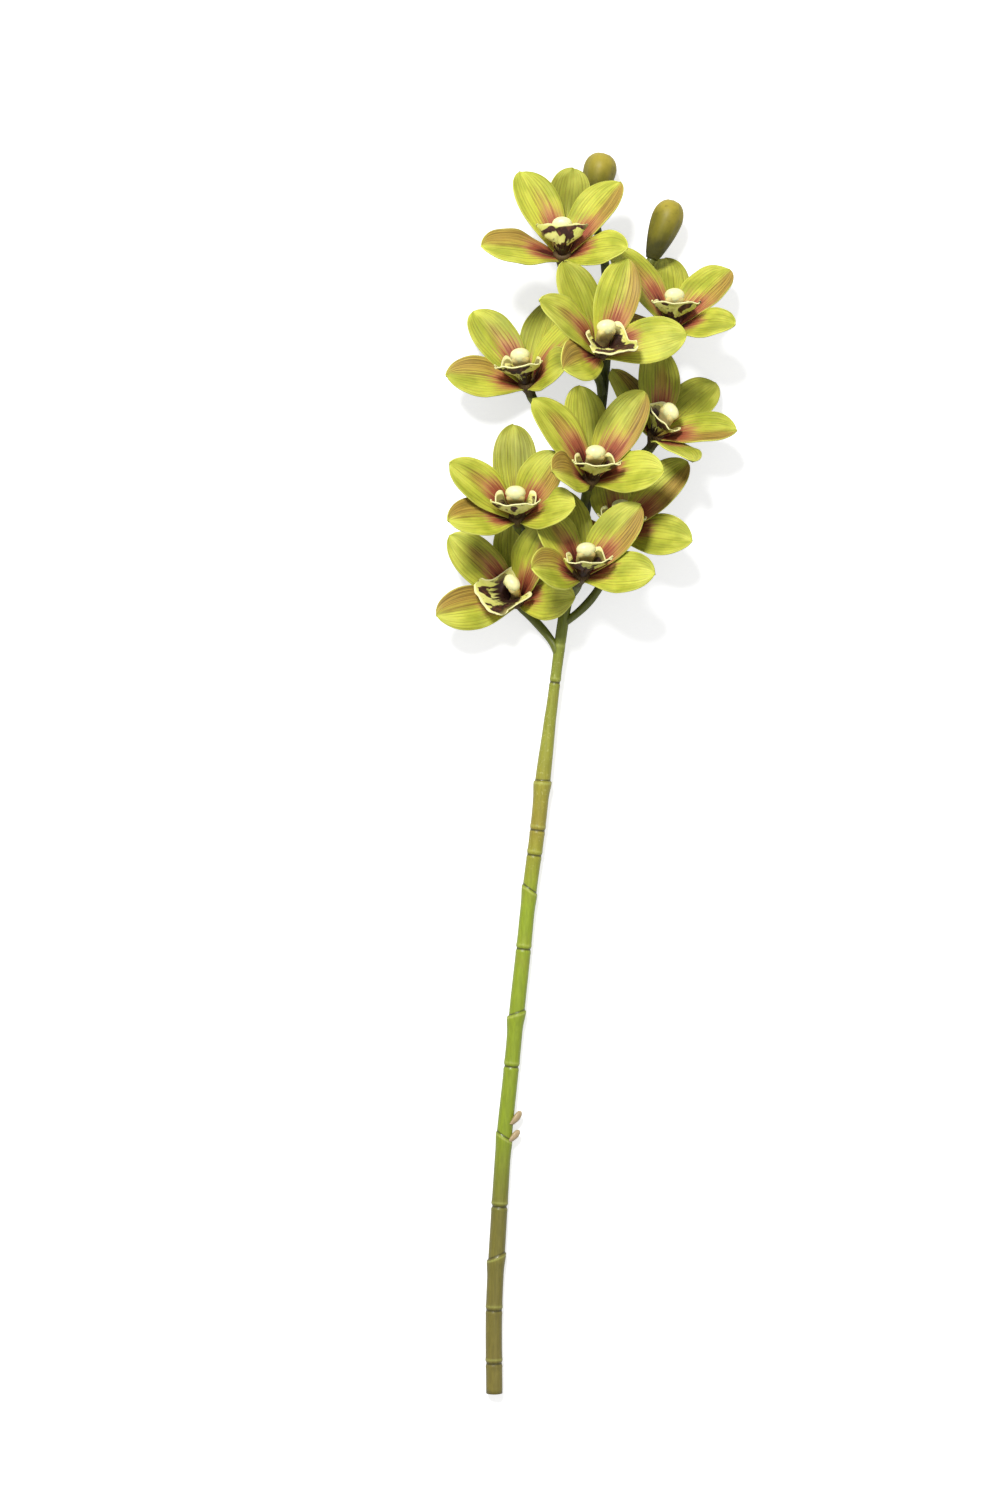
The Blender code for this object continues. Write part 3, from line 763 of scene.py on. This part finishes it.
def makeColumnSkin(name, pale, deep, shadeEnd):
    material, tree, shader = newMaterial(name, 0.38, Subsurface_Weight=0.1, Subsurface_Scale=0.003)
    along = parts(tree, attribute(tree, "place"))[1]
    skin = placed(tree, skinGroup, Scale=1100.0, Depth=0.16)
    spot = objectSpot(tree)
    # for the body, pale above and deep at its foot: painted shade where it sinks into the lip
    colour = mixed(tree, ranged(tree, along, 0.05, shadeEnd), deep, pale)
    flecks = ranged(tree, noisy(tree, spot, 900.0, 1.0), 0.7, 0.76, 0.0, 0.35)
    colour = mixed(tree, flecks, colour, column["fleck"])
    colour = toned(tree, colour, skin["Tone"])
    finishSkin(tree, shader, colour, skin["Height"], 0.35, 0.0003)
    return material


# The stalk in the drawing's mm. Of its joints, a groove is a ring pressed in, a collar is the edge of a
# sheath that widens up to it, and the faint one is only a pale ring. The pale lips beside a groove and at a
# collar's edge are painted highlight.
stalk = {
    "line": ((-52.8, 0.8, 4.6), (-52.9, 50.0, 4.7), (-49.8, 109.0, 4.9), (-47.1, 149.0, 5.2),
             (-42.9, 190.0, 5.4), (-39.9, 220.0, 5.8), (-35.9, 258.0, 6.0), (-32.4, 292.0, 6.4),
             (-27.8, 327.0, 7.2), (-24.9, 354.0, 8.0), (-20.7, 390.0, 9.2), (-17.8, 412.0, 10.2),
             (-14.9, 434.6, 11.2), (-12.1, 453.6, 11.5), (-8.6, 469.0, 11.0), (-1.7, 505.0, 9.2),
             (5.2, 545.6, 8.8), (10.5, 586.0, 9.0), (12.7, 626.0, 9.5), (11.0, 654.0, 10.0),
             (6.5, 674.0, 10.2), (2.6, 685.6, 10.5)),
    # y, radius
    "radius": ((0.0, 4.75), (60.0, 4.75), (100.0, 4.7), (150.0, 4.5), (190.0, 4.4), (230.0, 4.45),
               (290.0, 4.2), (330.0, 4.4), (358.0, 4.4), (390.0, 3.5), (412.0, 3.1), (436.0, 3.3),
               (454.0, 3.3), (480.0, 3.6), (560.0, 3.1), (640.0, 2.7), (688.0, 2.3)),
    # y, kind, radius at the joint and slant from the left side to the right side
    "joints": ((18.3, "groove", 4.45, 0.0), (49.0, "groove", 4.5, 0.0), (79.7, "collar", 5.5, 4.8),
               (109.0, "groove", 4.1, 0.0), (149.0, "collar", 5.0, -5.0), (190.0, "groove", 3.95, 0.0),
               (220.3, "collar", 5.4, 4.2), (258.0, "groove", 3.95, 0.0), (292.0, "collar", 4.8, -4.6),
               (312.3, "groove", 4.05, 0.0), (326.7, "groove", 4.15, 0.0), (354.5, "collar", 5.3, 0.6),
               (412.0, "groove", 2.8, 0.0), (434.6, "faint", 3.2, 0.0)),
    "jointReach": 16,       # mm from a joint past which it shapes nothing
    "lipAbove": 0.22,       # mm, the swelling above a groove
    "lipBelow": 0.12,
    "sides": 28,
    "step": 3.0,            # mm between rings on a plain stretch
    "jointStep": 0.45,      # mm between rings at a joint
    "jointRings": 3.2,      # mm to either side of a joint where the rings lie so close
    "straight": 6,          # mm to either side that a ring's direction is taken from
}
stalkColours = {
    # share of the stalk's length, colour; the last stop darkens the stalk among the blooms with painted shade
    "ramp": ((0.00, (0.20, 0.16, 0.030)), (0.15, (0.19, 0.17, 0.026)), (0.22, (0.26, 0.34, 0.016)),
             (0.41, (0.29, 0.38, 0.018)), (0.47, (0.34, 0.28, 0.030)), (0.54, (0.32, 0.33, 0.035)),
             (0.63, (0.21, 0.25, 0.020)), (0.69, (0.070, 0.085, 0.010))),
    "rampFoot": 0.36,       # metres below the origin
    "rampLength": 0.70,     # metres
    "cloud": (0.34, 0.30, 0.045),
    # pale speckles: painted highlight glints on the upper stalk
    "paintedGlints": (0.62, 0.62, 0.22),
    "pedicel": (0.13, 0.15, 0.02),
    "crease": (0.045, 0.040, 0.006),
    # pale lips at the joints: painted highlight, and a pale band at the faint joint
    "paleBandAndHighlight": (0.56, 0.60, 0.14),
    "bract": (0.50, 0.36, 0.20),
}


def rowPlace(rows, k, value):  # where the rising values at index k reach this one, counted in rows
    for i in range(len(rows) - 1):
        if value <= rows[i + 1][k]:
            return i + max(0.0, (value - rows[i][k]) / (rows[i + 1][k] - rows[i][k]))
    return len(rows) - 1.0


def lineAt(y):
    middle = curveThrough(stalk["line"], rowPlace(stalk["line"], 1, y))
    middle.y = y
    return middle


def radiusAt(y):
    return curveThrough(stalk["radius"], rowPlace(stalk["radius"], 0, y))[1]


def straightLineAt(y):  # where the solids' line runs, for what leaves the stalk
    place = rowPlace(stalk["line"], 1, y)
    i = min(int(place), len(stalk["line"]) - 2)
    return Vector(stalk["line"][i]).lerp(Vector(stalk["line"][i + 1]), place - i)


def ringSides(tangent):
    side = tangent.cross(Vector((0, 0, 1))).normalized()
    return side, side.cross(tangent.normalized())


# The stalk's radius at y on one side, with its mark: 1 in a crease, -1 on a pale lip (painted highlight at a
# groove and a collar, a pale band at the faint joint).
def jointForm(y, angle):
    plain = radiusAt(y)
    radius, ring = plain, 0.0
    for at, kind, size, slant in stalk["joints"]:
        off = y - at - cos(angle) * slant / 2
        if abs(off) > stalk["jointReach"]:
            continue
        if kind == "faint":
            radius += (size - plain) * hump(off, 0, 0.9)
            ring -= 0.5 * hump(off, -1.4, 1.4)
        elif kind == "groove":
            radius += (size - plain) * hump(off, 0, 0.9)
            radius += stalk["lipAbove"] * hump(off, 2.0, 1.2) + stalk["lipBelow"] * hump(off, -1.8, 1.1)
            ring += hump(off, 0.0, 0.75) - 0.45 * hump(off, 2.2, 1.1)
        else:
            swell = soft(off, -13, 0) ** 1.6 if off < 0 else 1 - soft(off, 0, 0.9)
            radius += (size - plain) * swell
            ring += 0.9 * hump(off, 1.0, 0.75) - 0.6 * hump(off, -0.7, 0.9)
    return radius, ring


def stalkStations():
    first, last = stalk["line"][0][1], stalk["line"][-1][1]
    count = int((last - first) / stalk["step"])
    stations = {round(first + i * stalk["step"], 2) for i in range(count + 1)} | {last}
    for at, _, _, slant in stalk["joints"]:
        reach = stalk["jointRings"] + abs(slant) / 2
        count = int(2 * reach / stalk["jointStep"])
        stations |= {round(at - reach + i * stalk["jointStep"], 2) for i in range(count + 1)}
    return sorted(y for y in stations if first <= y <= last)


def growStalk(bm):
    stations = stalkStations()
    first, last = stations[0], stations[-1]
    tintLayer = layer(bm, "tint")
    made = {}

    def ringPoint(angle, u):
        y = stations[round(u * (len(stations) - 1))]
        ahead, behind = min(y + stalk["straight"], last), max(y - stalk["straight"], first)
        side, lift = ringSides(lineAt(ahead) - lineAt(behind))
        radius, ring = jointForm(y, angle)
        point = lineAt(y) + side * (cos(angle) * radius) + lift * (sin(angle) * radius)
        point.z = max(point.z, drawingZero.z)
        made[(round(point.x, 4), round(point.y, 4), round(point.z, 4))] = ring
        return point

    wrapTube(bm, stalk["sides"], len(stations) - 1, ringPoint, 0.0)
    for vert in bm.verts:
        key = (round(vert.co.x, 4), round(vert.co.y, 4), round(vert.co.z, 4))
        vert[tintLayer] = (made.get(key, 0.0), 0.0, 0.0)


def tintNew(bm, before, tint):  # marks what has been added since before
    tintLayer = layer(bm, "tint")
    for vert in bm.verts:
        if vert not in before:
            vert[tintLayer] = tint


# The small stems of the blooms and of the bud, in mm.
pedicel = {
    "radius": 2.4, "endRadius": 2.8, "budEndRadius": 2.6,
    "sides": 20, "rings": 36,
    "leaves": (0.0, 0.72, 0.2),     # the way it leaves the stalk
    "bow": 0.38,                    # how far it runs that way, as a share of its length
    "arrival": 13.0,                # at most so far straight behind the bloom
    "lowest": 5.0,
    "ripple": 0.10,
    "behind": 9.3,                  # from the bloom's centre to its end
}


def growPedicel(bm, start, lean, end, endTangent, endRadius, seed):
    endTangent = endTangent.normalized()
    length = (end - start).length
    reach = length * pedicel["bow"]
    first = start + Vector(pedicel["leaves"]) * reach + Vector((lean, 0.0, 0.0))
    second = end - endTangent * min(reach, pedicel["arrival"])
    second.z = max(second.z, pedicel["lowest"])
    before = set(bm.verts)

    def ringPoint(angle, u):
        v = 1 - u
        middle = start * v**3 + first * (3 * v * v * u) + second * (3 * v * u * u) + end * u**3
        tangent = (first - start) * v * v + (second - first) * (2 * v * u) + (end - second) * (u * u)
        side, lift = ringSides(endTangent if u > 0.999 else tangent)
        radius = pedicel["radius"] + (endRadius - pedicel["radius"]) * u * u
        radius += pedicel["ripple"] * sin(u * length * 0.4 + seed)
        return middle + side * (cos(angle) * radius) + lift * (sin(angle) * radius)

    wrapTube(bm, pedicel["sides"], pedicel["rings"], ringPoint, seed)
    tintNew(bm, before, (0.0, 1.0, 0.0))


bract = {
    # share of the length, distance from the stalk's line, half wide, half thick, in mm
    "rows": ((0.0, 3.4, 2.6, 1.6), (0.35, 5.4, 2.6, 2.2), (0.75, 6.9, 2.0, 2.0), (1.0, 7.6, 0.7, 0.8)),
    "sides": 20, "rings": 14,
    "curl": 0.9,            # how hollow the blade is towards the stalk
    "raised": 1.2,
    "places": ((147.0, 7.0), (157.0, 8.0)),     # y, length
}


def growBract(bm, y, length):
    foot = straightLineAt(y)
    along = (straightLineAt(y + 10) - foot).normalized()
    side = along.cross(Vector((0, 0, 1))).normalized()
    before = set(bm.verts)

    def ringPoint(angle, u):
        share, off, wide, thick = curveThrough(bract["rows"], u * (len(bract["rows"]) - 1))
        curl = bract["curl"] * sin(angle) ** 2
        middle = foot + along * length * share + side * (off - curl) + Vector((0, 0, bract["raised"]))
        return middle + Vector((0, 0, wide)) * sin(angle) + side * thick * cos(angle)

    wrapTube(bm, bract["sides"], bract["rings"], ringPoint, y)
    tintNew(bm, before, (0.0, 0.0, 1.0))


# Foot, tip and width in mm, and where its stem leaves the stalk as y. The first bud ends the stalk itself.
buds = (
    ((3.0, 687.0, 10.5), (10.5, 717.0, 12.5), 19.0, None),
    ((37.7, 655.2, 18.0), (50.5, 688.5, 20.5), 18.0, 634),
)
bud = {
    # share of the length, share of the half width
    "profile": ((0.0, 0.40), (0.08, 0.53), (0.22, 0.69), (0.38, 0.84), (0.54, 0.95), (0.68, 1.0),
                (0.72, 1.0)),
    "domeAt": 0.70,         # where the rounded top begins
    "around": 48, "along": 48,
    "stemLean": 4,          # mm, sideways
    "seams": 3,
    "seamDepth": 0.035,     # this and the next as shares of the radius
    "lobe": 0.06,
    # from the foot to the top: painted shade darkens the foot and painted highlight lights the top, over the
    # bud's olive-brown skin
    "foot": (0.055, 0.052, 0.008),
    "middle": (0.20, 0.175, 0.014),
    "top": (0.40, 0.32, 0.035),
    "line": (0.16, 0.14, 0.02),
    "mottle": (0.11, 0.095, 0.012),
}


def fromDrawing(bm):
    bmesh.ops.recalc_face_normals(bm, faces=bm.faces)
    for vert in bm.verts:
        vert.co = drawn(vert.co)


def makeStalk(materials):
    bm = newMesh()
    growStalk(bm)
    for y, length in bract["places"]:
        growBract(bm, y, length)
    for number, bloom in enumerate(blooms, 1):
        center, turns, (leavesAt, lean) = bloom[:3]
        out = bloomAxes(*turns)[2]
        foot = Vector(center) - out * pedicel["behind"]
        growPedicel(bm, straightLineAt(leavesAt), lean, foot, out, pedicel["endRadius"], number * 1.9)
    for foot, tip, _, leavesAt in buds:
        if leavesAt:
            axis = (Vector(tip) - Vector(foot)).normalized()
            end = Vector(foot) + axis * 0.3  # mm, a little into the bud
            start = straightLineAt(leavesAt)
            growPedicel(bm, start, bud["stemLean"], end, axis, pedicel["budEndRadius"], 31.0)
    fromDrawing(bm)
    finishPiece(bm, "stalk_and_pedicels", materials, "stalk")


def makeStalkSkin():
    use = stalkColours
    material, tree, shader = newMaterial("stalk_skin", 0.42, Coat_Weight=0.06)
    ring, pedicelShare, papery = parts(tree, attribute(tree, "tint"))
    spot = objectSpot(tree)
    x, y, z = parts(tree, spot)
    ramp = tree.nodes.new("ShaderNodeValToRGB")
    long, foot = use["rampLength"], use["rampFoot"]
    feed(tree, ramp.inputs[0], maths(tree, "MULTIPLY_ADD", y, 1 / long, foot / long))
    ramp.color_ramp.interpolation = "LINEAR"
    while len(ramp.color_ramp.elements) < len(use["ramp"]):
        ramp.color_ramp.elements.new(0.5)
    for element, (at, colour) in zip(ramp.color_ramp.elements, use["ramp"]):
        element.position = at
        element.color = (*colour, 1.0)
    fibre = noisy(tree, joined(tree, x, times(tree, y, 0.14), z), 900.0, 3.0, 0.6)
    cloud = noisy(tree, spot, 60.0, 2.0)
    colour = mixed(tree, ranged(tree, cloud, 0.45, 0.8, 0.0, 0.35), ramp.outputs[0], use["cloud"])
    # pale speckles on the upper stalk: painted highlight glints
    paintedGlints = ranged(tree, noisy(tree, spot, 700.0, 3.0, 0.65), 0.56, 0.72, 0.0, 0.5)
    glintStretch = times(tree, ranged(tree, y, -0.10, 0.02), ranged(tree, y, 0.07, 0.08, 1.0, 0.0))
    colour = mixed(tree, times(tree, paintedGlints, glintStretch), colour, use["paintedGlints"])
    colour = mixed(tree, times(tree, pedicelShare, 0.75), colour, use["pedicel"])
    colour = mixed(tree, ranged(tree, ring, 0.05, 1.0, 0.0, 0.85), colour, use["crease"])
    # pale lips at the joints: painted highlight; at the faint joint a pale band
    colour = mixed(tree, ranged(tree, ring, -0.1, -0.9, 0.0, 0.75), colour, use["paleBandAndHighlight"])
    colour = mixed(tree, times(tree, papery, 0.95), colour, use["bract"])
    colour = toned(tree, colour, ranged(tree, fibre, 0.3, 0.7, 0.88, 1.10))
    finishSkin(tree, shader, colour, fibre, 0.3, 0.0004)
    return material


def makeBud(number, foot, tip, width, materials):
    foot, tip = Vector(foot), Vector(tip)
    axis = tip - foot
    side, lift = ringSides(axis)
    apart = tau / bud["seams"]
    bm = newMesh()

    def ringPoint(angle, u):
        grow = curveThrough(bud["profile"], rowPlace(bud["profile"], 0, u))[1]
        if u > bud["domeAt"]:
            grow = sqrt(max(0.0, 1 - ((u - bud["domeAt"]) / (1 - bud["domeAt"])) ** 2)) ** 0.9 + 0.0001
        turned = angle - 0.5 * pi
        lobe = bud["lobe"] * cos(bud["seams"] * turned) * sin(pi * min(1.0, u * 1.05))
        nearest = abs(turned / apart % 1.0 - 0.5) * apart
        seam = bud["seamDepth"] * hump(nearest, 0, 0.09) * soft(u, 0.12, 0.4)
        radius = width / 2 * grow * (1 + lobe - seam)
        middle = foot + axis * u
        return middle + side * (cos(angle) * radius) + lift * (sin(angle) * radius)

    wrapTube(bm, bud["around"], bud["along"], ringPoint, number * 5.0)
    fromDrawing(bm)
    finishPiece(bm, f"bud_{number}_skin", materials, f"bud_{number}")


def makeBudSkin():
    material, tree, shader = newMaterial("bud_skin", 0.5, Specular_IOR_Level=0.35)
    place = attribute(tree, "place")
    along = parts(tree, place)[1]
    veins = placed(tree, veinGroup, Place=place, Count=30.0, Wander=0.15, Width=0.3)
    skin = placed(tree, skinGroup, Scale=700.0, Depth=0.3)
    spot = objectSpot(tree)
    cloud = noisy(tree, spot, 120.0, 2.0)
    # darker at the foot and lighter at the top: painted shade and painted highlight over the olive-brown skin
    lifted = plus(tree, along, times(tree, minus(tree, cloud, 0.5), 0.5))
    colour = mixed(tree, ranged(tree, lifted, 0.12, 0.55), bud["foot"], bud["middle"])
    colour = mixed(tree, ranged(tree, lifted, 0.50, 1.0), colour, bud["top"])
    colour = mixed(tree, times(tree, veins["Lines"], 0.08), colour, bud["line"])
    colour = toned(tree, colour, skin["Tone"])
    mottle = ranged(tree, noisy(tree, spot, 260.0, 3.0, 0.6), 0.56, 0.72, 0.0, 0.45)
    colour = mixed(tree, mottle, colour, bud["mottle"])
    height = plus(tree, times(tree, veins["Height"], 0.3), skin["Height"])
    finishSkin(tree, shader, colour, height, 0.3, 0.0004)
    return material


petalMaterials = [makePetalFace(), makePetalBack(), makeRim("petal_rim", petalColours["rim"], 0.6, 0.3, 0.3)]
neckMaterials = [makeNeckSkin()]
lipMaterials = [
    makeLipSkin("lip_inside", 0.53, 0.68, 1.0),
    makeLipSkin("lip_outside", 0.51, 0.30, 0.6),
    makeRim("lip_rim", lipColours["creamPale"], 0.5, 0.5, 0.25),
]
columnMaterials = [
    makeColumnSkin("column_body", column["body"], column["bodyShade"], 0.8),
    makeColumnSkin("column_cap", column["cap"], column["cap"], 1.0),
]
for number, (center, turns, _, habit, tepals) in enumerate(blooms, 1):
    yaw, pitch, roll = turns
    sepalTwist, lipTurn, lipFall = habit
    place = bloomPlace(center, yaw, pitch, roll)
    lipPlace = bloomPlace(center, yaw, pitch, roll + lipTurn)
    makePetals(number, place, sepalTwist, tepals, petalMaterials)
    makeNeck(number, place, neckMaterials)
    makeLip(number, lipPlace, lipFall, lipMaterials)
    makeColumn(number, lipPlace, columnMaterials)
print("blooms made:", len(blooms))
makeStalk([makeStalkSkin()])
print("stalk made")
budMaterials = [makeBudSkin()]
for number, (foot, tip, width, _) in enumerate(buds, 1):
    makeBud(number, foot, tip, width, budMaterials)
print("buds made:", len(buds))

studio = {
    "cameraAt": (-0.0495, 0.0143, 2.0),     # looks straight down, with the stem's tip at the top
    "lens": 82.87,
    "floorSize": 6.0,
    "floorColour": (0.72, 0.72, 0.72),
    "floorGlow": 0.62,      # seen by the camera alone, so that the paper stays white under the shadows
    "keyAt": (-0.45, 1.10, 1.85), "keySize": 0.50, "keyPower": 44.0,
    "fillAt": (0.9, -0.6, 1.8), "fillSize": 1.6, "fillPower": 3.0,
    "aimAt": (0.0, 0.15, 0.0),
    "sky": 0.42,
}


def makeStudio():
    use = studio
    bm = bmesh.new()
    bmesh.ops.create_grid(bm, x_segments=1, y_segments=1, size=use["floorSize"] / 2)
    mesh = bpy.data.meshes.new("floor")
    bm.to_mesh(mesh)
    bm.free()
    floor = bpy.data.objects.new("floor", mesh)
    bpy.context.scene.collection.objects.link(floor)
    material, tree, shader = newMaterial("floor_white", 0.9)
    shader.inputs["Base Color"].default_value = (*use["floorColour"], 1.0)
    shader.inputs["Emission Color"].default_value = (1.0, 1.0, 1.0, 1.0)
    seen = tree.nodes.new("ShaderNodeLightPath").outputs["Is Camera Ray"]
    feed(tree, shader.inputs["Emission Strength"], times(tree, seen, use["floorGlow"]))
    mesh.materials.append(material)
    for name in ("key", "fill"):
        light = bpy.data.lights.new(name, "AREA")
        light.shape = "DISK"
        light.size = use[name + "Size"]
        light.energy = use[name + "Power"]
        lamp = bpy.data.objects.new(name, light)
        lamp.location = use[name + "At"]
        lamp.rotation_mode = "QUATERNION"
        lamp.rotation_quaternion = (Vector(use["aimAt"]) - lamp.location).to_track_quat("-Z", "Y")
        bpy.context.scene.collection.objects.link(lamp)
    world = bpy.data.worlds.new("soft_room")
    world.use_nodes = True
    room = world.node_tree.nodes["Background"]
    room.inputs[0].default_value = (1.0, 1.0, 1.0, 1.0)
    seen = world.node_tree.nodes.new("ShaderNodeLightPath").outputs["Is Camera Ray"]
    feed(world.node_tree, room.inputs[1], maths(world.node_tree, "MAXIMUM", seen, use["sky"]))  # white behind
    bpy.context.scene.world = world
    bpy.context.scene.view_settings.view_transform = "Standard"
    camera = bpy.data.objects.new("camera", bpy.data.cameras.new("camera"))
    camera.data.sensor_width = 36.0
    camera.data.lens = use["lens"]
    camera.location = use["cameraAt"]
    bpy.context.scene.collection.objects.link(camera)
    bpy.context.scene.camera = camera


makeStudio()
print("studio ready")
